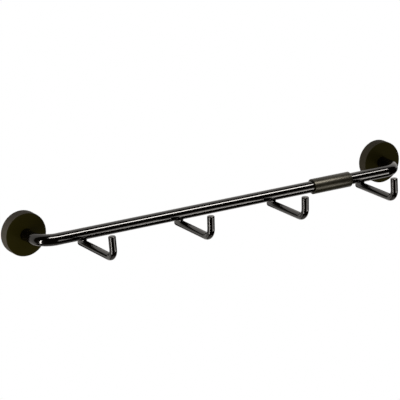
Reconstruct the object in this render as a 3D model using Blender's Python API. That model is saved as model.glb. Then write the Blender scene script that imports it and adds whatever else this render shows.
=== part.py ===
"""Magnetic utensil holder: a bent steel bar with four welded hooks, held by two jacketed pot magnets.

Metres, +Z up. X runs along the bar and +Y points into the steel wall that the magnets grip.
The origin is on that wall, midway between the magnets, so the whole holder lies at y <= 0.
"""
import bmesh
import bpy
from math import cos, pi, radians, sin, tan
from mathutils import Matrix, Vector

# Bar: round steel, bent back to the wall at both ends
MAGNET_SPACING = 0.354
STANDOFF = 0.035            # wall to the bar's axis
BAR_RADIUS = 0.005
BAR_BEND_RADIUS = 0.015     # of the centreline
BAR_END_CHAMFER = 0.0004

# Hooks: round wire, welded under the bar
HOOK_INSET = 0.0396         # magnet centre to the end hook
WIRE_RADIUS = 0.0031
HOOK_REACH = 0.0497         # bar axis to tip axis
HOOK_TAIL = 0.006           # bar axis back to the arm's sawn end
HOOK_BEND_RADIUS = 0.0083   # of the centreline
HOOK_END_ROUND = 0.0008
HOOK_1_RISE = 0.0110        # from the bar's axis to the tip's end
HOOK_2_RISE = 0.0108
HOOK_3_RISE = 0.0104
HOOK_4_RISE = 0.0104
# Each hook's lean to -X and turn to +X in degrees, and its rise
HOOK_SETS = ((3.2, 0.9, HOOK_1_RISE), (-0.7, 0.1, HOOK_2_RISE),
             (-1.0, 0.5, HOOK_3_RISE), (1.5, 0.1, HOOK_4_RISE))

# Weld bead round the spot where each arm crosses the bar
WELD_WIDTH = 0.0052
WELD_LENGTH = 0.0058
WELD_DEPTH = 0.0048

# Soft sleeve on the bar, beside the last hook
SLEEVE_LENGTH = 0.0382
SLEEVE_WALL = 0.00135
SLEEVE_TO_HOOK = 0.0105
SLEEVE_EDGE_ROUND = 0.0002

# Pot magnet: a ferrite ring potted in a pressed steel cup
CUP_RADIUS = 0.016
CUP_HEIGHT = 0.007
CUP_WALL = 0.002
CUP_FLOOR = 0.0022
CUP_CORNER_ROUND = 0.0012
CUP_RIM_ROUND = 0.0003
RING_SIDE_GAP = 0.0012
RING_BORE_CLEARANCE = 0.0011
RING_RECESS = 0.0003
RING_CHAMFER = 0.0004

# Rubber jacket over the cup's front and side
JACKET_FRONT = 0.0023
JACKET_WALL = 0.0023
JACKET_FRONT_ROUND = 0.001
JACKET_BACK_ROUND = 0.0005

# Countersunk screw from the cup into the bar's end
SCREW_RADIUS = 0.0025
SCREW_LENGTH = 0.012
SCREW_HEAD_RADIUS = 0.0049
SCREW_HEAD_RIM = 0.0003
SCREW_LAND = 0.0004         # plain hole below the countersink
SCREW_TIP_CHAMFER = 0.0006
SOCKET_FLATS = 0.003
SOCKET_DEPTH = 0.0016
HOLE_SPARE = 0.0015         # bar's hole past the screw's tip

SEAT_GAP = 0.0003           # between any two pieces that touch

DRILL_POINT_DEG = 118
SQUARE_EDGE_DEG = 75        # edges sharper than this are rounded
SMOOTH_UNDER_DEG = 40       # edges softer than this are shaded smooth
MERGE_DISTANCE = 1e-6

BAR_SIDES = 32
WIRE_SIDES = 24
WELD_SIDES = 20
MAGNET_SIDES = 48
SCREW_SIDES = 32
BEND_STEPS = 10
ROUND_STEPS = 3

# Depths below are measured from the wall into the room
cup_front = CUP_HEIGHT
bar_end = cup_front + SEAT_GAP
head_cone_end = cup_front - SCREW_LAND
head_top = head_cone_end - (SCREW_HEAD_RADIUS - SCREW_RADIUS) - SCREW_HEAD_RIM
screw_tip = head_top + SCREW_LENGTH
screw_hole_radius = SCREW_RADIUS + SEAT_GAP
hook_drop = BAR_RADIUS + SEAT_GAP + WIRE_RADIUS
hook_pitch = (MAGNET_SPACING - 2 * HOOK_INSET) / (len(HOOK_SETS) - 1)


def make_material(name, colour, roughness, metallic=0.0):
    """A Principled material in one colour."""
    material = bpy.data.materials.new(name)
    material.use_nodes = True
    shader = material.node_tree.nodes["Principled BSDF"]
    shader.inputs["Base Color"].default_value = (*colour, 1.0)
    shader.inputs["Roughness"].default_value = roughness
    shader.inputs["Metallic"].default_value = metallic
    material.diffuse_color = (*colour, 1.0)
    return material


def add_object(name, bm, material=None, parent=None, location=(0, 0, 0), rotation=(0, 0, 0)):
    """Turns a bmesh into an object, its faces out and its curved sides smooth."""
    bmesh.ops.recalc_face_normals(bm, faces=bm.faces)
    mesh = bpy.data.meshes.new(name)
    bm.to_mesh(mesh)
    bm.free()
    mesh.shade_smooth()
    mesh.set_sharp_from_angle(angle=radians(SMOOTH_UNDER_DEG))
    item = bpy.data.objects.new(name, mesh)
    bpy.context.collection.objects.link(item)
    item.parent = parent
    item.location = location
    item.rotation_euler = rotation
    if material:
        mesh.materials.append(material)
    else:
        item.hide_render = True
        item.display_type = "WIRE"
    return item


def add_empty(name, location, rotation=(0, 0, 0)):
    """A plain axis that carries the pieces of one place."""
    empty = bpy.data.objects.new(name, None)
    bpy.context.collection.objects.link(empty)
    empty.location = location
    empty.rotation_euler = rotation
    return empty


def round_edges(item, width, segments):
    """Rounds every square edge."""
    bevel = item.modifiers.new("edges", "BEVEL")
    bevel.width = width
    bevel.segments = segments
    bevel.limit_method = "ANGLE"
    bevel.angle_limit = radians(SQUARE_EDGE_DEG)


def cut_away(item, cutter):
    """Subtracts a hidden cutter."""
    boolean = item.modifiers.new("cut", "BOOLEAN")
    boolean.operation = "DIFFERENCE"
    boolean.solver = "EXACT"
    boolean.object = cutter


def add_rod(bm, radius, sides, length, turned_about):
    """A plain rod, turned from upright by a quarter turn about the named axis."""
    place = Matrix.Rotation(pi / 2, 4, turned_about)
    bmesh.ops.create_cone(bm, cap_ends=True, segments=sides, radius1=radius, radius2=radius,
                          depth=length, matrix=place)


def start_tube(bm, radius, sides, centre):
    """An open circle square to Y, as the first loop of a tube."""
    place = Matrix.Translation(centre) @ Matrix.Rotation(pi / 2, 4, "X")
    bmesh.ops.create_circle(bm, radius=radius, segments=sides, matrix=place)
    return bm.edges[:]


def run_straight(bm, loop, offset):
    """Carries a tube's open loop along a straight run and returns the new loop."""
    grown = bmesh.ops.extrude_edge_only(bm, edges=loop)["geom"]
    far_verts = [part for part in grown if isinstance(part, bmesh.types.BMVert)]
    bmesh.ops.translate(bm, vec=offset, verts=far_verts)
    return [part for part in grown if isinstance(part, bmesh.types.BMEdge) and part.is_boundary]


def run_bend(bm, loop, centre, axis, angle_deg):
    """Carries a tube's open loop round a bend and returns the new loop."""
    swept = bmesh.ops.spin(bm, geom=loop, cent=centre, axis=axis, angle=radians(angle_deg), steps=BEND_STEPS)
    return [part for part in swept["geom_last"] if isinstance(part, bmesh.types.BMEdge)]


def resize_loop(bm, loop, centre, factor):
    """Scales a loop square to Y about its centre."""
    verts = {vert for edge in loop for vert in edge.verts}
    bmesh.ops.scale(bm, vec=(factor, 1, factor), space=Matrix.Translation(-Vector(centre)), verts=list(verts))


def corner(centre, radius, start_deg):
    """Points of a quarter round in a profile, from the start angle on."""
    angles = [radians(start_deg + 90 * step / ROUND_STEPS) for step in range(ROUND_STEPS + 1)]
    return [(centre[0] + radius * cos(angle), centre[1] + radius * sin(angle)) for angle in angles]


def turn_profile(profile, sides, axis=(0, 1, 0), closed=True):
    """Revolves a profile of (radius, place along the axis) points into a solid."""
    along = Vector(axis)
    outward = Vector((axis[1], axis[0], 0))
    bm = bmesh.new()
    verts = [bm.verts.new(outward * radius + along * place) for radius, place in profile]
    pairs = zip(verts, verts[1:] + verts[:1]) if closed else zip(verts, verts[1:])
    edges = [bm.edges.new(pair) for pair in pairs]
    bmesh.ops.spin(bm, geom=verts + edges, axis=along, angle=2 * pi, steps=sides, use_merge=True)
    bmesh.ops.remove_doubles(bm, verts=bm.verts, dist=MERGE_DISTANCE)
    return bm


def build_bar(material):
    """Half of the bar from its drilled end to the middle, then mirrored."""
    left = -MAGNET_SPACING / 2
    drill_radius = screw_hole_radius
    drill_depth = screw_tip + HOLE_SPARE
    bm = bmesh.new()
    loop = start_tube(bm, drill_radius, BAR_SIDES, (left, -drill_depth, 0))
    bottom = bmesh.ops.contextual_create(bm, geom=loop)["faces"]
    point_depth = drill_radius / tan(radians(DRILL_POINT_DEG / 2))
    tip = bmesh.ops.poke(bm, faces=bottom)["verts"]
    bmesh.ops.translate(bm, verts=tip, vec=(0, -point_depth, 0))
    loop = run_straight(bm, loop, (0, drill_depth - bar_end, 0))
    loop = run_straight(bm, loop, (0, 0, 0))
    resize_loop(bm, loop, (left, -bar_end, 0), BAR_RADIUS / drill_radius)
    loop = run_straight(bm, loop, (0, bar_end + BAR_BEND_RADIUS - STANDOFF, 0))
    loop = run_bend(bm, loop, (left + BAR_BEND_RADIUS, BAR_BEND_RADIUS - STANDOFF, 0), (0, 0, 1), 90)
    run_straight(bm, loop, (MAGNET_SPACING / 2 - BAR_BEND_RADIUS, 0, 0))
    half = bm.verts[:] + bm.edges[:] + bm.faces[:]
    bmesh.ops.mirror(bm, geom=half, merge_dist=MERGE_DISTANCE, axis="X")
    bar = add_object("bar", bm, material)
    round_edges(bar, BAR_END_CHAMFER, 1)


def build_hook(number, x, lean_deg, turn_deg, rise, wire_material, bar_cutter):
    """One hook and its weld bead, about a point on the bar's axis."""
    seat = add_empty(f"hook_{number}_seat", (x, -STANDOFF, 0), (0, 0, radians(turn_deg)))
    arm = HOOK_REACH - HOOK_BEND_RADIUS
    bm = bmesh.new()
    tail = start_tube(bm, WIRE_RADIUS, WIRE_SIDES, (0, HOOK_TAIL, 0))
    bmesh.ops.contextual_create(bm, geom=tail)
    loop = run_straight(bm, tail, (0, -HOOK_TAIL - arm, 0))
    loop = run_bend(bm, loop, (0, -arm, HOOK_BEND_RADIUS), (1, 0, 0), -90)
    loop = run_straight(bm, loop, (0, 0, rise + hook_drop - HOOK_BEND_RADIUS))
    bmesh.ops.contextual_create(bm, geom=loop)
    lean = (0, -radians(lean_deg), 0)
    hook = add_object(f"hook_{number}", bm, wire_material, seat, (0, 0, -hook_drop), lean)
    round_edges(hook, HOOK_END_ROUND, ROUND_STEPS)

    bm = bmesh.new()
    bmesh.ops.create_uvsphere(bm, u_segments=WELD_SIDES, v_segments=WELD_SIDES // 2, radius=0.5)
    bmesh.ops.scale(bm, verts=bm.verts, vec=(WELD_WIDTH, WELD_LENGTH, WELD_DEPTH))
    weld = add_object(f"hook_weld_{number}", bm, wire_material, seat, (0, 0, -BAR_RADIUS - SEAT_GAP / 2))
    bm = bmesh.new()
    add_rod(bm, WIRE_RADIUS + SEAT_GAP, WIRE_SIDES, 2 * WELD_LENGTH, "X")
    wire_cutter = add_object(f"wire_cutter_{number}", bm, None, seat, (0, 0, -hook_drop))
    cut_away(weld, bar_cutter)
    cut_away(weld, wire_cutter)


def build_sleeve(material, last_hook_x):
    """The soft tube on the bar between the last two hooks."""
    inner = BAR_RADIUS + SEAT_GAP
    outer = inner + SLEEVE_WALL
    end = last_hook_x - WIRE_RADIUS - SLEEVE_TO_HOOK
    start = end - SLEEVE_LENGTH
    rounding = SLEEVE_EDGE_ROUND
    profile = [(inner, start), (inner, end)]
    profile += reversed(corner((outer - rounding, end - rounding), rounding, 0))
    profile += reversed(corner((outer - rounding, start + rounding), rounding, -90))
    bm = turn_profile(profile, BAR_SIDES, axis=(1, 0, 0))
    add_object("label_sleeve", bm, material, None, (0, -STANDOFF, 0))


def jacket_profile():
    """The rubber cap: open to the wall, with a hole in front for the bar."""
    inner = CUP_RADIUS + SEAT_GAP
    outer = inner + JACKET_WALL
    inside = -cup_front - SEAT_GAP
    front = inside - JACKET_FRONT
    bar_hole = BAR_RADIUS + SEAT_GAP
    profile = [(bar_hole, inside), (bar_hole, front)]
    profile += corner((outer - JACKET_FRONT_ROUND, front + JACKET_FRONT_ROUND), JACKET_FRONT_ROUND, -90)
    profile += corner((outer - JACKET_BACK_ROUND, -JACKET_BACK_ROUND), JACKET_BACK_ROUND, 0)
    return profile + [(inner, 0), (inner, inside)]


def cup_profile():
    """The pressed steel cup, its floor countersunk for the screw."""
    floor = CUP_FLOOR - cup_front
    inner = CUP_RADIUS - CUP_WALL
    diagonal = SEAT_GAP * 2 ** 0.5
    sink_radius = SCREW_RADIUS + diagonal + (floor + head_cone_end)
    sink_end = -head_cone_end + screw_hole_radius - SCREW_RADIUS - diagonal
    rim = CUP_RIM_ROUND
    profile = [(sink_radius, floor), (screw_hole_radius, sink_end), (screw_hole_radius, -cup_front)]
    profile += corner((CUP_RADIUS - CUP_CORNER_ROUND, CUP_CORNER_ROUND - cup_front), CUP_CORNER_ROUND, -90)
    profile += corner((CUP_RADIUS - rim, -rim), rim, 0)
    return profile + [(inner, 0), (inner, floor)]


def ring_profile():
    """The ferrite ring, a little below the cup's rim."""
    outer = CUP_RADIUS - CUP_WALL - RING_SIDE_GAP
    bore = SCREW_HEAD_RADIUS + RING_BORE_CLEARANCE
    back = CUP_FLOOR - cup_front + SEAT_GAP
    face = -RING_RECESS
    chamfer = RING_CHAMFER
    return [(bore, back), (outer - chamfer, back), (outer, back + chamfer),
            (outer, face - chamfer), (outer - chamfer, face), (bore + chamfer, face), (bore, face - chamfer)]


def screw_profile():
    """The countersunk screw, from the point on its axis at the tip to the one on its head."""
    tip_radius = SCREW_RADIUS - SCREW_TIP_CHAMFER
    return [(0, -screw_tip), (tip_radius, -screw_tip), (SCREW_RADIUS, SCREW_TIP_CHAMFER - screw_tip),
            (SCREW_RADIUS, -head_cone_end), (SCREW_HEAD_RADIUS, -head_top - SCREW_HEAD_RIM),
            (SCREW_HEAD_RADIUS, -head_top), (0, -head_top)]


def build_magnet(side, x, rubber, steel, ferrite, screw_steel):
    """One jacketed pot magnet and its screw, about its centre on the wall."""
    centre = add_empty(f"{side}_magnet", (x, 0, 0))
    add_object(f"{side}_rubber_jacket", turn_profile(jacket_profile(), MAGNET_SIDES), rubber, centre)
    add_object(f"{side}_steel_cup", turn_profile(cup_profile(), MAGNET_SIDES), steel, centre)
    add_object(f"{side}_ferrite_ring", turn_profile(ring_profile(), MAGNET_SIDES), ferrite, centre)
    bm = turn_profile(screw_profile(), SCREW_SIDES, closed=False)
    screw = add_object(f"{side}_screw", bm, screw_steel, centre)
    bm = bmesh.new()
    corner_radius = SOCKET_FLATS / 2 / cos(pi / 6)
    add_rod(bm, corner_radius, 6, 2 * SOCKET_DEPTH, "X")
    cut_away(screw, add_object(f"{side}_socket_cutter", bm, None, centre, (0, -head_top, 0)))


def build_holder():
    """The whole holder, from the bar outwards."""
    powder_coat = make_material("gloss_black_powder_coat", (0.004, 0.004, 0.0035), 0.15)
    rubber = make_material("matt_black_rubber", (0.007, 0.0065, 0.003), 0.65)
    sleeve_rubber = make_material("satin_black_sleeve", (0.009, 0.008, 0.004), 0.45)
    zinc = make_material("zinc_plated_steel", (0.58, 0.58, 0.56), 0.35, 1.0)
    ferrite = make_material("grey_ferrite", (0.055, 0.055, 0.06), 0.6)
    screw_steel = make_material("bright_screw_steel", (0.62, 0.61, 0.58), 0.3, 1.0)

    build_bar(powder_coat)
    first_hook = HOOK_INSET - MAGNET_SPACING / 2
    bm = bmesh.new()
    add_rod(bm, BAR_RADIUS + SEAT_GAP, BAR_SIDES, MAGNET_SPACING, "Y")
    bar_cutter = add_object("bar_cutter", bm, None, None, (0, -STANDOFF, 0))
    for index, hook_set in enumerate(HOOK_SETS):
        build_hook(index + 1, first_hook + index * hook_pitch, *hook_set, powder_coat, bar_cutter)
    build_sleeve(sleeve_rubber, -first_hook)
    for side, x in (("left", -MAGNET_SPACING / 2), ("right", MAGNET_SPACING / 2)):
        build_magnet(side, x, rubber, zinc, ferrite, screw_steel)


for old in list(bpy.data.objects):
    bpy.data.objects.remove(old)
build_holder()
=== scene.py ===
from math import cos, pi, radians, sin, tan

import bmesh
import bpy
from mathutils import Matrix, Vector, noise


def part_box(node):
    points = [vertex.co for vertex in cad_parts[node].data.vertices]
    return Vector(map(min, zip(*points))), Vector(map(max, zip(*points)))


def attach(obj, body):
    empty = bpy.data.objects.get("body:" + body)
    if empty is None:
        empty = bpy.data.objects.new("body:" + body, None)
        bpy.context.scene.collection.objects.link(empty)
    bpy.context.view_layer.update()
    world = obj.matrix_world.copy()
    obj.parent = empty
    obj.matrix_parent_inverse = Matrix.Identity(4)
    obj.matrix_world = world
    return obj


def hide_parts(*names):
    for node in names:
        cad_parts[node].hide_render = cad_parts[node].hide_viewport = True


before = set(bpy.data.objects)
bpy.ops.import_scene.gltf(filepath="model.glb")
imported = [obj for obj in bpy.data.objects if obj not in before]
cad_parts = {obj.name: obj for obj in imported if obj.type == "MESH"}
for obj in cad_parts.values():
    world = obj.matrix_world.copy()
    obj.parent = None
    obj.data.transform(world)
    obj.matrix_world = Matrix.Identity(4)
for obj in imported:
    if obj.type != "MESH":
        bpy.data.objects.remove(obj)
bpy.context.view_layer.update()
print("frame loaded with", len(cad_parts), "nodes")


# small helpers for meshes; lengths are in metres

mergeDistance = 1e-6       # points closer than this are one point


def addPiece(name, bm, material, stoodFor=(), smoothUnder=32):
    # one finished piece: faces out, curved sides smooth, riding on the holder
    bmesh.ops.remove_doubles(bm, verts=bm.verts, dist=mergeDistance)
    bmesh.ops.recalc_face_normals(bm, faces=bm.faces)
    mesh = bpy.data.meshes.new(name)
    bm.to_mesh(mesh)
    bm.free()
    mesh.shade_smooth()
    mesh.set_sharp_from_angle(angle=radians(smoothUnder))
    mesh.materials.append(material)
    piece = bpy.data.objects.new(name, mesh)
    bpy.context.collection.objects.link(piece)
    if stoodFor:
        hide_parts(*stoodFor)
    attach(piece, "root")


def startTube(bm, radius, sides, centre):
    # an open circle square to Y
    place = Matrix.Translation(centre) @ Matrix.Rotation(pi / 2, 4, "X")
    bmesh.ops.create_circle(bm, radius=radius, segments=sides, matrix=place)
    return bm.edges[:]


def carryOn(bm, loop, offset, steps=1):
    # the tube runs straight on by the offset
    for step in range(steps):
        grown = bmesh.ops.extrude_edge_only(bm, edges=loop)["geom"]
        farVerts = [part for part in grown if isinstance(part, bmesh.types.BMVert)]
        bmesh.ops.translate(bm, vec=Vector(offset) / steps, verts=farVerts)
        loop = [part for part in grown if isinstance(part, bmesh.types.BMEdge) and part.is_boundary]
    return loop


def carryRound(bm, loop, centre, axis, degrees, steps):
    # the tube runs round a bend
    swept = bmesh.ops.spin(bm, geom=loop, cent=centre, axis=axis, angle=radians(degrees), steps=steps)
    return [part for part in swept["geom_last"] if isinstance(part, bmesh.types.BMEdge)]


def widenLoop(bm, loop, centre, factor):
    # the last circle of a tube along Y grows or shrinks
    verts = list({vert for edge in loop for vert in edge.verts})
    bmesh.ops.scale(bm, vec=(factor, 1, factor), space=Matrix.Translation(-Vector(centre)), verts=verts)


def turnProfile(profile, sides, segments, along=(0, 1, 0), closed=True):
    # a lathe: each point is (radius, place along the axis, rounding)
    axis = Vector(along)
    outward = Vector((axis.y, 0, axis.x))
    bm = bmesh.new()
    verts = [bm.verts.new(outward * radius + axis * place) for radius, place, rounding in profile]
    for first, second in zip(verts, verts[1:] + verts[:1] if closed else verts[1:]):
        bm.edges.new((first, second))
    for vert, (radius, place, rounding) in zip(verts, profile):
        if rounding:
            bmesh.ops.bevel(bm, geom=[vert], offset=rounding, offset_type="OFFSET", segments=segments,
                            profile=0.5, affect="VERTICES", clamp_overlap=False, material=-1)
    bmesh.ops.spin(bm, geom=bm.verts[:] + bm.edges[:], axis=axis, cent=(0, 0, 0), angle=2 * pi,
                   steps=sides, use_merge=True)
    bmesh.ops.remove_doubles(bm, verts=bm.verts, dist=mergeDistance)
    return bm


def shift(bm, x=0.0, y=0.0):
    # the whole mesh moves to its place
    bmesh.ops.translate(bm, verts=bm.verts, vec=(x, y, 0))


def middleX(low, high):
    # the middle of a node's box, from left to right
    return (low.x + high.x) / 2


# small helpers for shader nodes

def addNode(tree, kind, sockets=None, **settings):
    # a node with its settings; a socket takes a value or another node's output
    made = tree.nodes.new(kind)
    for label, value in settings.items():
        setattr(made, label, value)
    for label, value in (sockets or {}).items():
        if isinstance(value, bpy.types.NodeSocket):
            tree.links.new(value, made.inputs[label])
        else:
            made.inputs[label].default_value = value
    return made


def addMath(tree, operation, first, second=0.0, third=0.0):
    return addNode(tree, "ShaderNodeMath", {0: first, 1: second, 2: third}, operation=operation).outputs[0]


def addMix(tree, share, first, second):
    # a mix of two values, which the node has at sockets 2 and 3
    return addNode(tree, "ShaderNodeMix", {0: share, 2: first, 3: second}, data_type="FLOAT").outputs[0]


def addBlend(tree, share, first, second):
    # a mix of two colours, which the node has at sockets 6 and 7
    return addNode(tree, "ShaderNodeMix", {0: share, 6: first, 7: second}, data_type="RGBA").outputs[2]


def addNoise(tree, position, size, detail=2.0, roughness=0.5):
    made = addNode(tree, "ShaderNodeTexNoise", {"Vector": position, "Scale": size, "Detail": detail,
                                                "Roughness": roughness})
    return made.outputs["Fac"]


def addRange(tree, value, low, high, toLow=0.0, toHigh=1.0, smooth=True):
    # 0 at low and 1 at high, or the two values given, eased at both ends if smooth
    made = addNode(tree, "ShaderNodeMapRange", {"Value": value, "From Min": low, "From Max": high,
                                                "To Min": toLow, "To Max": toHigh},
                   interpolation_type="SMOOTHSTEP" if smooth else "LINEAR")
    return made.outputs["Result"]


def newGroup(name, inputs, outputs):
    # a shader node group with named sockets
    group = bpy.data.node_groups.new(name, "ShaderNodeTree")
    for label, kind, value in inputs:
        socket = group.interface.new_socket(name=label, in_out="INPUT", socket_type="NodeSocket" + kind)
        socket.default_value = value
    for label, kind in outputs:
        group.interface.new_socket(name=label, in_out="OUTPUT", socket_type="NodeSocket" + kind)
    entry = group.nodes.new("NodeGroupInput").outputs
    leave = group.nodes.new("NodeGroupOutput").inputs
    return group, entry, leave


def addGroup(tree, group, sockets):
    return addNode(tree, "ShaderNodeGroup", sockets, node_tree=group).outputs


def newMaterial(name, look, metallic=0.0):
    # values that are the same all over are set on the shader's own sockets
    material = bpy.data.materials.new(name)
    material.use_nodes = True
    tree = material.node_tree
    shader = tree.nodes["Principled BSDF"]
    shader.inputs["Base Color"].default_value = (*look["colour"], 1)
    shader.inputs["Roughness"].default_value = look["dull"]
    shader.inputs["Metallic"].default_value = metallic
    shader.inputs["Specular IOR Level"].default_value = look.get("specular", 0.5)
    shader.inputs["Specular Tint"].default_value = (*look.get("sheenTint", (1, 1, 1)), 1)
    material.diffuse_color = (*look["colour"], 1)
    position = addNode(tree, "ShaderNodeTexCoord").outputs["Object"]
    return material, tree, shader.inputs, position


def addRelief(tree, sockets, height, depth):
    bump = addNode(tree, "ShaderNodeBump", {"Strength": 1.0, "Distance": depth, "Height": height})
    tree.links.new(bump.outputs["Normal"], sockets["Normal"])


# effects that several finishes share

def makeGrainGroup():
    # two scales of bump in one height: a fine grain on a slow swell
    group, entry, leave = newGroup("surface grain", [
        ("Position", "Vector", (0, 0, 0)), ("Grain Scale", "Float", 900.0), ("Swell Scale", "Float", 200.0),
        ("Swell Share", "Float", 0.4)], [("Height", "Float")])
    grain = addNoise(group, entry["Position"], entry["Grain Scale"], detail=2.0)
    swell = addNoise(group, entry["Position"], entry["Swell Scale"], detail=0.0)
    group.links.new(addMix(group, entry["Swell Share"], grain, swell), leave["Height"])
    return group


filmValues = {"patchDetail": 4.0, "patchRoughness": 0.6, "patchRange": (0.35, 0.7), "speckScale": 2600.0,
              "speckDetail": 1.0, "speckRange": (0.68, 0.78)}


def makeHandlingGroup(film):
    # patches and specks left by handling: a little duller and dustier here, cleaner there
    group, entry, leave = newGroup("handling film", [
        ("Position", "Vector", (0, 0, 0)), ("Clean Colour", "Color", (0.01, 0.01, 0.01, 1)),
        ("Dusty Colour", "Color", (0.03, 0.03, 0.03, 1)), ("Patch Scale", "Float", 60.0),
        ("Dust", "Float", 0.2), ("Clean Roughness", "Float", 0.1), ("Dull Roughness", "Float", 0.2)],
        [("Colour", "Color"), ("Roughness", "Float")])
    place = entry["Position"]
    patches = addNoise(group, place, entry["Patch Scale"], film["patchDetail"], film["patchRoughness"])
    patches = addRange(group, patches, *film["patchRange"])
    specks = addNoise(group, place, film["speckScale"], film["speckDetail"])
    specks = addRange(group, specks, *film["speckRange"])
    dusty = addMath(group, "MULTIPLY", addMath(group, "MAXIMUM", patches, specks), entry["Dust"])
    colour = addBlend(group, dusty, entry["Clean Colour"], entry["Dusty Colour"])
    dull = addMix(group, patches, entry["Clean Roughness"], entry["Dull Roughness"])
    group.links.new(colour, leave["Colour"])
    group.links.new(dull, leave["Roughness"])
    return group


lineValues = {"scale": 1.0, "detail": 3.0, "roughness": 0.6, "range": (0.3, 0.7)}


def makeLinesGroup(values):
    # fine lines drawn out along one direction, as from a die, a brush or a grinder
    group, entry, leave = newGroup("drawn lines", [
        ("Position", "Vector", (0, 0, 0)), ("Turn", "Vector", (0, 0, 0)),
        ("Spread", "Vector", (10, 2000, 2000))], [("Lines", "Float")])
    turned = addNode(group, "ShaderNodeMapping", {"Vector": entry["Position"], "Rotation": entry["Turn"],
                                                  "Scale": entry["Spread"]})
    lines = addNoise(group, turned.outputs["Vector"], values["scale"], values["detail"], values["roughness"])
    group.links.new(addRange(group, lines, *values["range"]), leave["Lines"])
    return group


grainGroup = makeGrainGroup()
handlingGroup = makeHandlingGroup(filmValues)
linesGroup = makeLinesGroup(lineValues)


def addFilm(tree, sockets, position, look):
    # the finish's own colour and gloss, under its handling film
    film = addGroup(tree, handlingGroup, {
        "Position": position, "Clean Colour": (*look["colour"], 1), "Dusty Colour": (*look["dust"], 1),
        "Patch Scale": look["patchScale"], "Dust": look["dustShare"], "Clean Roughness": look["clean"],
        "Dull Roughness": look["dull"]})
    tree.links.new(film["Colour"], sockets["Base Color"])
    tree.links.new(film["Roughness"], sockets["Roughness"])
    return film["Colour"]


def addGrain(tree, position, look):
    made = addGroup(tree, grainGroup, {"Position": position, "Grain Scale": look["grainScale"],
                                       "Swell Scale": look["swellScale"], "Swell Share": look["swellShare"]})
    return made["Height"]


def addLines(tree, position, look):
    made = addGroup(tree, linesGroup, {"Position": position, "Turn": look.get("lineTurn", (0, 0, 0)),
                                       "Spread": look["lineSpread"]})
    return made["Lines"]


# sizes that several pieces share

barLow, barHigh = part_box("bar")
barRadius = (barHigh.z - barLow.z) / 2
halfSpacing = barHigh.x - barRadius        # from the middle to each magnet's centre
standoff = -barLow.y - barRadius           # from the wall to the bar's axis
barEnd = -barHigh.y                        # from the wall to the bar's drilled ends


# finishes

# gloss black powder coat with a faint orange peel
glossCoatLook = {"colour": (0.0008, 0.0005, 0.0002), "dust": (0.005, 0.004, 0.003), "dustShare": 0.15,
                 "patchScale": 45.0, "clean": 0.1, "dull": 0.13, "grainScale": 700.0, "swellScale": 170.0,
                 "swellShare": 0.6, "depth": 0.000002}

# bright plated screw steel
screwLook = {"colour": (0.66, 0.65, 0.6), "dust": (0.4, 0.38, 0.33), "dustShare": 0.4, "patchScale": 420.0,
             "clean": 0.18, "dull": 0.32, "grainScale": 3000.0, "swellScale": 500.0, "swellShare": 0.5,
             "depth": 0.000006}

# cast resin between the ferrite and the cup
resinLook = {"colour": (0.02, 0.02, 0.022), "dust": (0.06, 0.06, 0.06), "dustShare": 0.3, "patchScale": 500.0,
             "clean": 0.2, "dull": 0.4, "grainScale": 1500.0, "swellScale": 600.0, "swellShare": 0.7,
             "depth": 0.00003}


def makeGrained(name, look, metallic=0.0):
    # a film over an even grain
    material, tree, sockets, position = newMaterial(name, look, metallic)
    addFilm(tree, sockets, position, look)
    addRelief(tree, sockets, addGrain(tree, position, look), look["depth"])
    return material


# the side colours are painted light: the side is paler than the face, and the left jacket's side paler than
# the right one's
rubberLook = {"colour": (0.0104, 0.0088, 0.0004), "dust": (0.016, 0.013, 0.002), "dustShare": 0.12,
              "patchScale": 90.0, "clean": 0.6, "dull": 0.7, "specular": 0.02, "grainScale": 2600.0,
              "swellScale": 350.0, "swellShare": 0.3, "depth": 0.00003, "sideFrom": 0.0179, "sideTo": 0.0185,
              "leftSidePaintedLight": (0.053, 0.048, 0.039), "rightSidePaintedLight": (0.036, 0.032, 0.022), "sideGloss": 0.03,
              "sideRoughness": 0.34}


def makeRubber(look):
    # moulded rubber with an olive cast: a fine matt stipple on the face, and a smoother side painted paler
    # than the face as painted light on the rim, palest on the left jacket, as painted light from the left
    # lamp
    material, tree, sockets, position = newMaterial("mattBlackRubber", look)
    face = addFilm(tree, sockets, position, look)
    parts = addNode(tree, "ShaderNodeSeparateXYZ", {0: position}).outputs
    across = addMath(tree, "SUBTRACT", addMath(tree, "ABSOLUTE", parts["X"]), halfSpacing)
    upSquared = addMath(tree, "MULTIPLY", parts["Z"], parts["Z"])
    out = addMath(tree, "SQRT", addMath(tree, "MULTIPLY_ADD", across, across, upSquared))
    side = addRange(tree, out, look["sideFrom"], look["sideTo"])
    # painted light: the side's colour runs from the paler left jacket to the darker right one, as if lit more
    # from the left
    right = addRange(tree, parts["X"], -halfSpacing, halfSpacing)
    sidePaintedLight = addBlend(tree, right, (*look["leftSidePaintedLight"], 1), (*look["rightSidePaintedLight"], 1))
    tree.links.new(addBlend(tree, side, face, sidePaintedLight), sockets["Base Color"])
    tree.links.new(addMath(tree, "MULTIPLY", side, look["sideGloss"]), sockets["Coat Weight"])
    sockets["Coat Roughness"].default_value = look["sideRoughness"]
    addRelief(tree, sockets, addGrain(tree, position, look), look["depth"])
    return material


sleeveLook = {"colour": (0.005, 0.0041, 0.0002), "dust": (0.015, 0.0125, 0.003), "dustShare": 0.12,
              "patchScale": 120.0, "clean": 0.34, "dull": 0.39, "specular": 0.37,
              "sheenTint": (1, 0.95, 0.79), "grainScale": 2200.0, "swellScale": 300.0, "swellShare": 0.4,
              "lineSpread": (30, 1500, 1500), "grainShare": 0.5, "depth": 0.000012}


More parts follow.
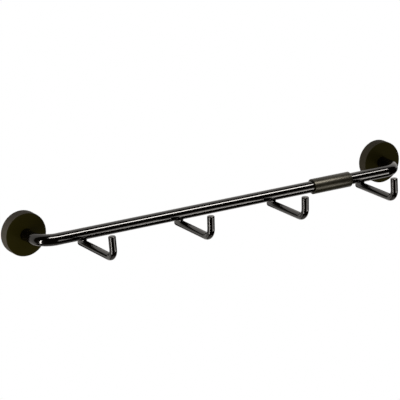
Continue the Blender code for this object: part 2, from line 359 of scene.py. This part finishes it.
def makeSleeveSkin(look):
    # satin soft tube, with the die's faint lines along it
    material, tree, sockets, position = newMaterial("satinBlackSleeve", look)
    addFilm(tree, sockets, position, look)
    lines = addLines(tree, position, look)
    grain = addGrain(tree, position, look)
    addRelief(tree, sockets, addMix(tree, look["grainShare"], lines, grain), look["depth"])
    return material


zincLook = {"colour": (0.6, 0.6, 0.57), "dust": (0.34, 0.33, 0.3), "dustShare": 0.5, "patchScale": 260.0,
            "clean": 0.26, "dull": 0.42, "lineSpread": (2400, 60, 2400), "depth": 0.00001}


def makeZinc(look):
    # bright zinc plate on pressed steel, drawn lines running into the cup
    material, tree, sockets, position = newMaterial("zincPlatedSteel", look, metallic=1.0)
    addFilm(tree, sockets, position, look)
    addRelief(tree, sockets, addLines(tree, position, look), look["depth"])
    return material


ferriteLook = {"colour": (0.045, 0.046, 0.05), "dust": (0.11, 0.11, 0.115), "dustShare": 0.35,
               "patchScale": 300.0, "clean": 0.42, "dull": 0.6, "lineTurn": (0, radians(28), 0),
               "lineSpread": (90, 900, 2600), "depth": 0.00002, "pitScale": 1800.0, "pitDetail": 1.0,
               "pitRange": (0.28, 0.4), "pitShadeColour": (0.012, 0.012, 0.013)}


def makeFerrite(look):
    # ground dark grey ferrite: grinding lines one way, and fine pits painted darker as shade in them
    material, tree, sockets, position = newMaterial("greyFerrite", look)
    ground = addFilm(tree, sockets, position, look)
    sound = addRange(tree, addNoise(tree, position, look["pitScale"], look["pitDetail"]), *look["pitRange"])
    # the pits' darker colour is painted shade
    tree.links.new(addBlend(tree, sound, (*look["pitShadeColour"], 1), ground), sockets["Base Color"])
    height = addMath(tree, "MULTIPLY", addLines(tree, position, look), sound)
    addRelief(tree, sockets, height, look["depth"])
    return material


glossCoat = makeGrained("glossBlackPowderCoat", glossCoatLook)
rubber = makeRubber(rubberLook)
sleeveSkin = makeSleeveSkin(sleeveLook)
zinc = makeZinc(zincLook)
ferrite = makeFerrite(ferriteLook)
screwSteel = makeGrained("brightScrewSteel", screwLook, metallic=1.0)
resin = makeGrained("castResin", resinLook)
print("finishes made")


# the bar

# drillPoint is half the angle of the drill's point, in degrees
bar = {"sides": 96, "bendRadius": 0.015, "bendSteps": 36, "straightSteps": 12, "drillRadius": 0.0028,
       "drillDepth": 0.0161, "drillPoint": 59, "endChamfer": 0.0004}


def makeBar(size):
    # half of it, from the bottom of the drilled end to the middle, then mirrored
    left = -halfSpacing
    bend = size["bendRadius"]
    bm = bmesh.new()
    # the drilled hole, from the drill's point out
    loop = startTube(bm, size["drillRadius"], size["sides"], (left, -size["drillDepth"], 0))
    bottom = bmesh.ops.contextual_create(bm, geom=loop)["faces"]
    point = bmesh.ops.poke(bm, faces=bottom)["verts"]
    bmesh.ops.translate(bm, verts=point, vec=(0, -size["drillRadius"] / tan(radians(size["drillPoint"])), 0))
    loop = carryOn(bm, loop, (0, size["drillDepth"] - barEnd, 0))
    # the end's flat ring and its chamfer
    loop = carryOn(bm, loop, (0, 0, 0))
    widenLoop(bm, loop, (left, -barEnd, 0), (barRadius - size["endChamfer"]) / size["drillRadius"])
    loop = carryOn(bm, loop, (0, -size["endChamfer"], 0))
    widenLoop(bm, loop, (left, 0, 0), barRadius / (barRadius - size["endChamfer"]))
    # the leg, the bend and half of the straight
    loop = carryOn(bm, loop, (0, barEnd + size["endChamfer"] + bend - standoff, 0))
    loop = carryRound(bm, loop, (left + bend, bend - standoff, 0), (0, 0, 1), 90, size["bendSteps"])
    carryOn(bm, loop, (halfSpacing - bend, 0, 0), size["straightSteps"])
    bmesh.ops.mirror(bm, geom=bm.verts[:] + bm.edges[:] + bm.faces[:], merge_dist=mergeDistance, axis="X")
    addPiece("roundBar", bm, glossCoat, ["bar"])


makeBar(bar)
print("bar made")


# the hooks and their weld beads

# leans and turns are in degrees and rises are above the bar's axis, each from the left hook to the right
hook = {"wireRadius": 0.0031, "sides": 72, "reach": 0.0497, "tail": 0.006, "bendRadius": 0.0083,
        "bendSteps": 28, "armSteps": 4, "tipSteps": 3, "gap": 0.0003, "endRound": 0.0008, "endSteps": 5,
        "leans": (3.2, -0.7, -1.0, 1.5), "turns": (0.9, 0.1, 0.5, 0.1),
        "rises": (0.011, 0.0108, 0.0104, 0.0104)}


def makeHook(number, size):
    # an arm under the bar, a bend and an upturned tip, in line with its weld bead
    low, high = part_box(f"hook_weld_{number}")
    drop = barRadius + size["gap"] + size["wireRadius"]
    arm = size["reach"] - size["bendRadius"]
    bm = bmesh.new()
    loop = startTube(bm, size["wireRadius"], size["sides"], (0, size["tail"], 0))
    bmesh.ops.contextual_create(bm, geom=loop)
    sawn = loop[:]
    loop = carryOn(bm, loop, (0, -size["tail"] - arm, 0), size["armSteps"])
    loop = carryRound(bm, loop, (0, -arm, size["bendRadius"]), (1, 0, 0), -90, size["bendSteps"])
    loop = carryOn(bm, loop, (0, 0, size["rises"][number - 1] + drop - size["bendRadius"]), size["tipSteps"])
    bmesh.ops.contextual_create(bm, geom=loop)
    bmesh.ops.bevel(bm, geom=sawn + loop, offset=size["endRound"], offset_type="OFFSET",
                    segments=size["endSteps"], profile=0.5, affect="EDGES", clamp_overlap=False, material=-1)
    lean = Matrix.Rotation(-radians(size["leans"][number - 1]), 4, "Y")
    turn = Matrix.Rotation(radians(size["turns"][number - 1]), 4, "Z")
    seat = Matrix.Translation((middleX(low, high), -standoff, 0))
    place = seat @ turn @ Matrix.Translation((0, 0, -drop)) @ lean
    bmesh.ops.transform(bm, matrix=place, verts=bm.verts)
    addPiece(f"wireHook{number}", bm, glossCoat, [f"hook_{number}"],
             smoothUnder=50)


bead = {"width": 0.0048, "length": 0.0056, "depth": 0.0046, "detail": 5, "lump": 0.00025,
        "lumpSize": 0.0012, "nextSeed": 7.3}


def makeBead(number, size):
    # a lumpy bead that runs into the bar and the wire
    low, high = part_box(f"hook_weld_{number}")
    turn = Matrix.Rotation(radians(hook["turns"][number - 1]), 4, "Z")
    bm = bmesh.new()
    bmesh.ops.create_icosphere(bm, subdivisions=size["detail"], radius=0.5)
    bmesh.ops.scale(bm, verts=bm.verts, vec=(size["width"], size["length"], size["depth"]))
    for vert in bm.verts:
        seed = vert.co / size["lumpSize"] + Vector((number * size["nextSeed"], 0, 0))
        vert.co += vert.co.normalized() * noise.noise(seed) * size["lump"]
    bmesh.ops.smooth_vert(bm, verts=bm.verts, factor=0.5, use_axis_x=True, use_axis_y=True, use_axis_z=True)
    place = Matrix.Translation((middleX(low, high), -standoff, -barRadius - hook["gap"] / 2)) @ turn
    bmesh.ops.transform(bm, matrix=place, verts=bm.verts)
    addPiece(f"weldBead{number}", bm, glossCoat, [f"hook_weld_{number}"],
             smoothUnder=180)


for hookNumber in range(1, len(hook["leans"]) + 1):
    makeHook(hookNumber, hook)
    makeBead(hookNumber, bead)
print("hooks and weld beads made")


# the sleeve

sleeve = {"sides": 96, "hug": 0.00003, "edgeRound": 0.00025, "roundSteps": 4}


def makeSleeve(size):
    # a soft tube that hugs the bar
    low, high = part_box("label_sleeve")
    outer = (high.z - low.z) / 2
    inner = barRadius + size["hug"]
    edge = size["edgeRound"]
    profile = [(inner, low.x, edge), (outer, low.x, edge), (outer, high.x, edge), (inner, high.x, edge)]
    bm = turnProfile(profile, size["sides"], size["roundSteps"], (1, 0, 0))
    shift(bm, y=-standoff)
    addPiece("softSleeve", bm, sleeveSkin, ["label_sleeve"])


makeSleeve(sleeve)
print("sleeve made")


# the magnets

jacket = {"sides": 128, "roundSteps": 8, "wall": 0.0023, "front": 0.0023, "barHug": 0.00005,
          "holeRound": 0.0004, "frontRound": 0.001, "backRound": 0.0005, "innerRound": 0.0002}


def makeJacket(side, size):
    # rubber over the cup's front and side, with a hole for the bar
    low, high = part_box(f"{side}_rubber_jacket")
    outer = (high.z - low.z) / 2
    front = low.y
    inside = front + size["front"]
    inner = outer - size["wall"]
    hole = barRadius + size["barHug"]
    profile = [(hole, inside, 0), (hole, front, size["holeRound"]), (outer, front, size["frontRound"]),
               (outer, 0, size["backRound"]), (inner, 0, size["innerRound"]), (inner, inside, 0)]
    bm = turnProfile(profile, size["sides"], size["roundSteps"])
    shift(bm, x=middleX(low, high))
    addPiece(f"{side}RubberJacket", bm, rubber, [f"{side}_rubber_jacket"])


cup = {"sides": 128, "roundSteps": 8, "wall": 0.002, "floor": 0.0022, "cornerRound": 0.0012,
       "rimRound": 0.0003, "floorRound": 0.0004, "screwHole": 0.0028, "screwSink": 0.0052}


def makeCup(side, size):
    # a pressed cup, open to the wall and countersunk for the screw, which gives its inner radius and floor
    low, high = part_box(f"{side}_steel_cup")
    outer = (high.z - low.z) / 2
    front = low.y
    inside = front + size["floor"]
    inner = outer - size["wall"]
    hole = size["screwHole"]
    sink = size["screwSink"]
    profile = [(sink, inside, 0), (hole, inside - sink + hole, 0), (hole, front, 0),
               (outer, front, size["cornerRound"]), (outer, 0, size["rimRound"]),
               (inner, 0, size["rimRound"]), (inner, inside, size["floorRound"])]
    bm = turnProfile(profile, size["sides"], size["roundSteps"])
    shift(bm, x=middleX(low, high))
    addPiece(f"{side}SteelCup", bm, zinc, [f"{side}_steel_cup"])
    return inner, inside


ring = {"sides": 128, "roundSteps": 1, "screwGap": 0.0011, "chamfer": 0.0004}


def makeRing(side, size):
    # a ferrite ring round the screw's head, which gives its outer radius
    low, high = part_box(f"{side}_ferrite_ring")
    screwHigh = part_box(f"{side}_screw")[1]
    outer = (high.z - low.z) / 2
    bore = screwHigh.z + size["screwGap"]
    chamfer = size["chamfer"]
    profile = [(bore, low.y, 0), (outer, low.y, chamfer), (outer, high.y, chamfer), (bore, high.y, chamfer)]
    bm = turnProfile(profile, size["sides"], size["roundSteps"])
    shift(bm, x=middleX(low, high))
    addPiece(f"{side}FerriteRing", bm, ferrite, [f"{side}_ferrite_ring"])
    return outer


resinFill = {"sides": 128, "roundSteps": 4, "belowRim": 0.0006, "creep": 0.0002, "topRound": 0.0002}


def makeResinFill(side, size, inner, outer, bottom):
    # cast resin between ring and cup, a little below the rim, creeping up a little at both walls
    low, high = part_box(f"{side}_ferrite_ring")
    top = -size["belowRim"]
    edge = top + size["creep"]
    profile = [(inner, bottom, 0), (outer, bottom, 0), (outer, edge, 0),
               ((inner + outer) / 2, top, size["topRound"]), (inner, edge, 0)]
    bm = turnProfile(profile, size["sides"], size["roundSteps"])
    shift(bm, x=middleX(low, high))
    addPiece(f"{side}CastResin", bm, resin)


screw = {"sides": 72, "roundSteps": 2, "radius": 0.0025, "headRim": 0.0003, "headRound": 0.0001,
         "tipChamfer": 0.0006, "socketFlats": 0.003, "socketDepth": 0.0016, "socketPoint": 0.0005}


def makeScrew(side, size):
    # a countersunk screw with a hexagon socket
    low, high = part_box(f"{side}_screw")
    headRadius = high.z
    headTop = high.y
    tip = low.y
    thread = size["radius"]
    coneEnd = headTop - size["headRim"] - (headRadius - thread)
    profile = [(0, tip, 0), (thread, tip, size["tipChamfer"]), (thread, coneEnd, 0),
               (headRadius, headTop - size["headRim"], 0), (headRadius, headTop, size["headRound"]),
               (size["socketFlats"], headTop, 0)]
    bm = turnProfile(profile, size["sides"], size["roundSteps"], closed=False)
    # the head's face runs in to a hexagon and down into the socket
    rim = [edge for edge in bm.edges if edge.is_boundary and edge.verts[0].co.y > (tip + headTop) / 2]
    corner = size["socketFlats"] / 2 / cos(pi / 6)
    hexPlace = Matrix.Translation((0, headTop, 0)) @ Matrix.Rotation(pi / 2, 4, "X")
    hexVerts = bmesh.ops.create_circle(bm, radius=corner, segments=6, matrix=hexPlace)["verts"]
    hexLoop = list({edge for vert in hexVerts for edge in vert.link_edges})
    bmesh.ops.bridge_loops(bm, edges=rim + hexLoop)
    loop = carryOn(bm, hexLoop, (0, -size["socketDepth"], 0))
    bottom = bmesh.ops.contextual_create(bm, geom=loop)["faces"]
    point = bmesh.ops.poke(bm, faces=bottom)["verts"]
    bmesh.ops.translate(bm, verts=point, vec=(0, -size["socketPoint"], 0))
    shift(bm, x=middleX(low, high))
    addPiece(f"{side}Screw", bm, screwSteel, [f"{side}_screw"])


for sideName in ("left", "right"):
    makeJacket(sideName, jacket)
    cupInner, cupFloor = makeCup(sideName, cup)
    ringOuter = makeRing(sideName, ring)
    makeResinFill(sideName, resinFill, ringOuter, cupInner, cupFloor)
    makeScrew(sideName, screw)
print("magnets made")


# camera, lamps, floor and world

view = {"azimuth": -30.184, "elevation": 17.030, "roll": -1.839, "target": (-0.026295, -0.035, 0.008475),
        "distance": 2.02546, "lens": 217.377}


def makeCamera(pose):
    # the place, bearing and lens fitted to the photo
    bearing, rise = radians(pose["azimuth"]), radians(pose["elevation"])
    away = Vector((sin(bearing) * cos(rise), -cos(bearing) * cos(rise), sin(rise)))
    camera = bpy.data.objects.new("camera", bpy.data.cameras.new("camera"))
    camera.data.lens = pose["lens"]
    spot = Matrix.Translation(Vector(pose["target"]) + away * pose["distance"])
    facing = away.to_track_quat("Z", "Y").to_matrix().to_4x4()
    camera.matrix_world = spot @ facing @ Matrix.Rotation(radians(pose["roll"]), 4, "Z")
    bpy.context.collection.objects.link(camera)
    bpy.context.scene.camera = camera


# the two key boxes lie end to end, the right one dimmer, and draw the white line along the bar
lampTint = (1.0, 0.955, 0.9)
lamps = {
    "keyStrip": {"toward": (0.2, -0.474, 0.857), "far": 1.421, "along": (1, 0, 0), "slide": -0.074,
                 "size": (1.432, 0.22), "watts": 39, "glossOnly": True},
    "keyEnd": {"toward": (0.2, -0.474, 0.857), "far": 1.421, "along": (1, 0, 0), "slide": 0.716,
               "size": (0.148, 0.22), "watts": 2.3, "glossOnly": True},
    "leftStrip": {"toward": (-0.893, -0.284, -0.26), "far": 0.7, "along": (0.07, -0.19, 1),
                  "size": (0.64, 0.055), "watts": 3.5},
    "lowFill": {"toward": (0.545, -0.71, -0.446), "far": 1.5, "along": (1, 0, 0),
                "size": (0.55, 0.12), "watts": 3.2},
    "frontPanel": {"toward": (0.478, -0.828, -0.292), "far": 1.5, "along": (0, 0, 1),
                   "size": (0.4, 0.8), "watts": 4}}


def makeLamp(name, lamp, tint):
    # a box that faces the holder, its first side along the given direction; some light gloss alone
    facing = Vector(lamp["toward"]).normalized()
    along = Vector(lamp["along"])
    long = (along - facing * along.dot(facing)).normalized()
    data = bpy.data.lights.new(name, "AREA")
    data.shape = "RECTANGLE"
    data.size, data.size_y = lamp["size"]
    data.energy = lamp["watts"]
    data.color = tint
    made = bpy.data.objects.new(name, data)
    turn = Matrix((long, facing.cross(long), facing)).transposed().to_4x4()
    place = Vector((0, -standoff, 0)) + facing * lamp["far"] + long * lamp.get("slide", 0)
    made.matrix_world = Matrix.Translation(place) @ turn
    made.visible_diffuse = not lamp.get("glossOnly", False)
    bpy.context.collection.objects.link(made)


floor = {"radius": 1.0, "sides": 96, "below": 2.2, "colour": (0.9, 0.9, 0.9), "dull": 0.8, "lowShade": 0.97,
         "patchScale": 6.0, "patchDetail": 3.0, "patchRange": (0.3, 0.7)}


def makeFloor(size):
    # a pale round floor, far below where the holder hangs
    bm = bmesh.new()
    bmesh.ops.create_circle(bm, cap_ends=True, radius=size["radius"], segments=size["sides"],
                            matrix=Matrix.Translation((0, 0, -size["below"])))
    mesh = bpy.data.meshes.new("paleFloor")
    bm.to_mesh(mesh)
    bm.free()
    material, tree, sockets, position = newMaterial("paleFloor", size)
    patches = addNoise(tree, position, size["patchScale"], size["patchDetail"])
    shade = addRange(tree, patches, *size["patchRange"])
    low = tuple(part * size["lowShade"] for part in size["colour"])
    tree.links.new(addBlend(tree, shade, (*low, 1), (*size["colour"], 1)), sockets["Base Color"])
    mesh.materials.append(material)
    made = bpy.data.objects.new("paleFloor", mesh)
    bpy.context.collection.objects.link(made)


# each pair is where a soft edge begins and ends in the direction looked in: X right, Y back, Z up
studio = {"ambient": 0.66, "backLoss": 0.6, "fromBack": (0.12, 0.2), "fromBelow": (-0.9, -0.75),
          "cardLeft": (-0.38, -0.26), "cardTop": (-0.06, -0.16), "cardFoot": (-0.62, -0.52),
          "wingRight": (-0.5, -0.62), "wingFront": (0.55, 0.65)}


def makeWorld(light, tint):
    # the camera sees white all round, gloss sees a white wall behind the holder and a dark room in front,
    # and matt faces get even light, less of it from behind
    world = bpy.data.worlds.new("studio")
    bpy.context.scene.world = world
    world.use_nodes = True
    tree = world.node_tree
    background = tree.nodes["Background"]
    direction = addNode(tree, "ShaderNodeTexCoord").outputs["Generated"]
    parts = addNode(tree, "ShaderNodeSeparateXYZ", {0: direction}).outputs
    behind = addRange(tree, parts["Y"], *light["fromBack"])
    above = addRange(tree, parts["Z"], *light["fromBelow"])
    # a dark card low on the wall keeps the edges of the wire crisp
    belowTop = addRange(tree, parts["Z"], *light["cardTop"])
    card = addMath(tree, "MULTIPLY", belowTop, addRange(tree, parts["Z"], *light["cardFoot"]))
    card = addMath(tree, "MULTIPLY", card, addRange(tree, parts["X"], *light["cardLeft"]))
    # a second one to its left darkens the left sides of the hooks
    wingRight = addRange(tree, parts["X"], *light["wingRight"])
    wing = addMath(tree, "MULTIPLY", wingRight, addRange(tree, parts["Y"], *light["wingFront"]))
    bare = addMath(tree, "SUBTRACT", 1.0, addMath(tree, "MAXIMUM", card, wing))
    white = addMath(tree, "MULTIPLY", addMath(tree, "MULTIPLY", behind, above), bare)
    ray = addNode(tree, "ShaderNodeLightPath").outputs
    seen = addMath(tree, "MAXIMUM", ray["Is Camera Ray"], ray["Is Transmission Ray"])
    fromBehind = light["ambient"] * (1 - light["backLoss"])
    even = addRange(tree, behind, 0.0, 1.0, light["ambient"], fromBehind, smooth=False)
    even = addMath(tree, "MULTIPLY", addMath(tree, "SUBTRACT", 1.0, ray["Is Glossy Ray"]), even)
    gloss = addMath(tree, "MULTIPLY", ray["Is Glossy Ray"], white)
    strength = addMath(tree, "MAXIMUM", seen, addMath(tree, "ADD", even, gloss))
    tree.links.new(strength, background.inputs["Strength"])
    tree.links.new(addBlend(tree, seen, (*tint, 1), (1, 1, 1, 1)), background.inputs["Color"])
    world.cycles.sampling_method = "NONE"


makeCamera(view)
for lampName, lampValues in lamps.items():
    makeLamp(lampName, lampValues, lampTint)
makeFloor(floor)
makeWorld(studio, lampTint)
bpy.context.scene.view_settings.view_transform = "Standard"
print("studio made")
